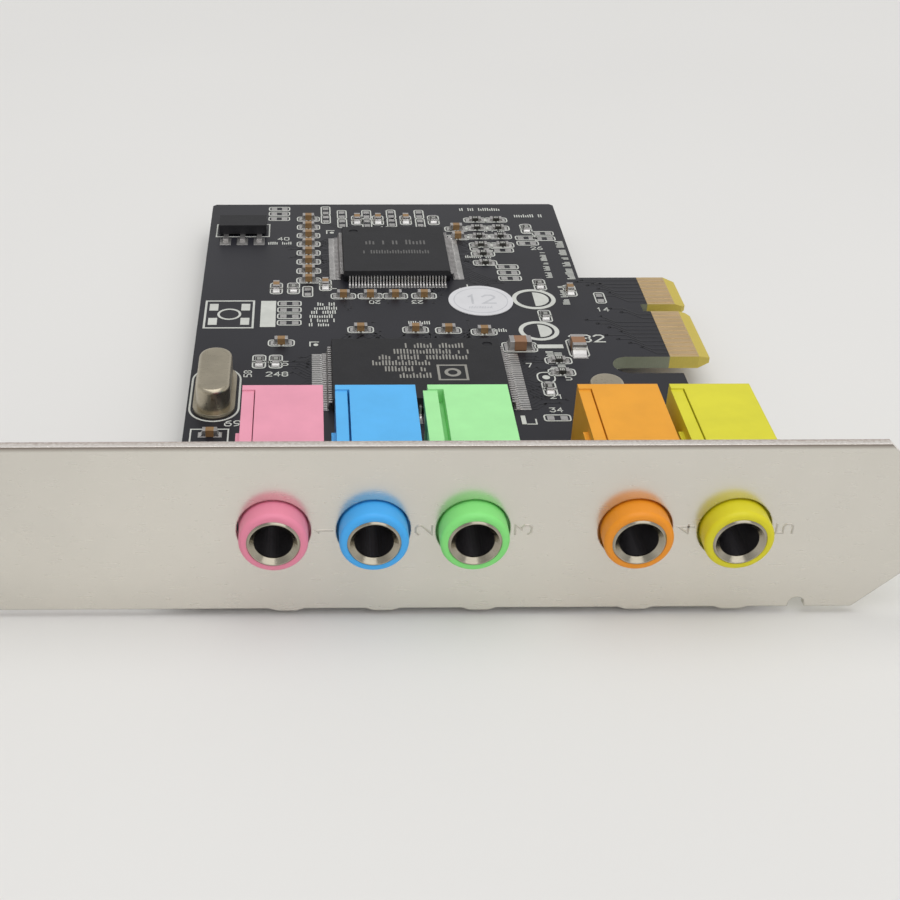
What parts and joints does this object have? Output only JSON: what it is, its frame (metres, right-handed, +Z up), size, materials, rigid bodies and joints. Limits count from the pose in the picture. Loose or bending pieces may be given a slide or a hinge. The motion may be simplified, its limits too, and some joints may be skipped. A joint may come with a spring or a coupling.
{
  "type": "sound card",
  "caption": "Computer sound card: black circuit board with a one-lane edge connector, colour-coded audio jacks and a full-height metal bracket with an open screw slot.",
  "frame": {"origin": "middle of the footprint, on the surface that the card lies on", "axes": "+X along the bracket towards its tongue, -Y out of the jacks, +Z up from the board's component side"},
  "size_m": [0.12, 0.0976, 0.0219],
  "materials": {
    "plated_steel": "satin nickel-plated sheet steel with bright sheared edges",
    "screw_steel": "zinc-plated steel",
    "black_laminate": "glass-fibre laminate with black solder mask and white print",
    "gold_plating": "gold-plated copper",
    "pink_plastic": "moulded pink plastic",
    "blue_plastic": "moulded blue plastic",
    "green_plastic": "moulded lime green plastic",
    "orange_plastic": "moulded orange plastic",
    "yellow_plastic": "moulded yellow plastic",
    "nickel_plating": "nickel-plated brass",
    "tinned_bronze": "tin-plated bronze spring strip",
    "chip_mould": "black moulding compound",
    "tinned_leads": "matt tin plating",
    "crystal_can": "drawn nickel-plated can",
    "tan_ceramic": "fired tan ceramic",
    "brown_ceramic": "fired brown ceramic",
    "black_resistor": "glazed thick-film resistor",
    "white_label": "plain white paper label",
    "solder": "tin solder"
  },
  "bodies": {
    "root": {"bracket": "plated_steel", "bracket_screws": "screw_steel", "circuit_board": "black_laminate", "edge_contacts": "gold_plating", "pink_jack_housing": "pink_plastic", "blue_jack_housing": "blue_plastic", "green_jack_housing": "green_plastic", "orange_jack_housing": "orange_plastic", "yellow_jack_housing": "yellow_plastic", "pink_jack_bushing": "nickel_plating", "blue_jack_bushing": "nickel_plating", "green_jack_bushing": "nickel_plating", "orange_jack_bushing": "nickel_plating", "yellow_jack_bushing": "nickel_plating", "pink_jack_contacts": "tinned_bronze", "blue_jack_contacts": "tinned_bronze", "green_jack_contacts": "tinned_bronze", "orange_jack_contacts": "tinned_bronze", "yellow_jack_contacts": "tinned_bronze", "audio_chip_body": "chip_mould", "audio_chip_leads": "tinned_leads", "bridge_chip_body": "chip_mould", "bridge_chip_leads": "tinned_leads", "left_crystal_can": "crystal_can", "left_crystal_base": "crystal_can", "right_crystal_can": "crystal_can", "right_crystal_base": "crystal_can", "regulator_body": "chip_mould", "regulator_leads": "tinned_leads", "ceramic_capacitors": "tan_ceramic", "ceramic_capacitor_ends": "tinned_leads", "large_capacitors": "brown_ceramic", "large_capacitor_ends": "tinned_leads", "chip_resistors": "black_resistor", "chip_resistor_ends": "tinned_leads", "round_label": "white_label", "solder_joints": "solder"}
  },
  "joints": []
}
